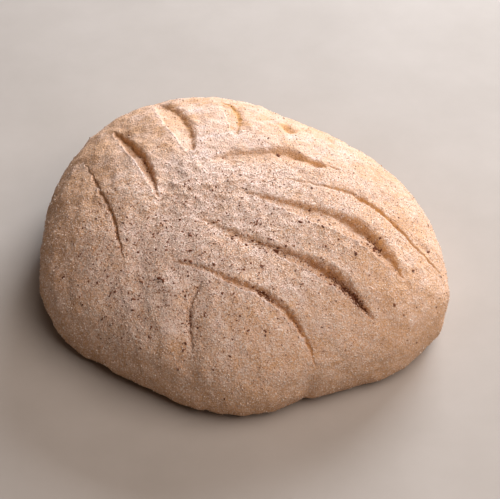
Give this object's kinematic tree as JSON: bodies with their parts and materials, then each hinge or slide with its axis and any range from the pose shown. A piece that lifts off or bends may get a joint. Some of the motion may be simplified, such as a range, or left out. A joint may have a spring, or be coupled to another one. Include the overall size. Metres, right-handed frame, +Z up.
{
  "type": "whole wheat sourdough loaf",
  "caption": "Hand-shaped round of whole wheat sourdough, unbaked, floured and slashed with curved leaf cuts either side of a bare stem, on a flat foot.",
  "frame": {"origin": "centre of the loaf's box in plan, on the surface that it rests on", "axes": "+Z up, +X to the right and +Y to the back, as seen from the front where the leaf cuts fan out to the right"},
  "size_m": [0.191, 0.1962, 0.063],
  "materials": {
    "dough": "matte floured dough"
  },
  "bodies": {
    "root": {"loaf": "dough"}
  },
  "joints": []
}
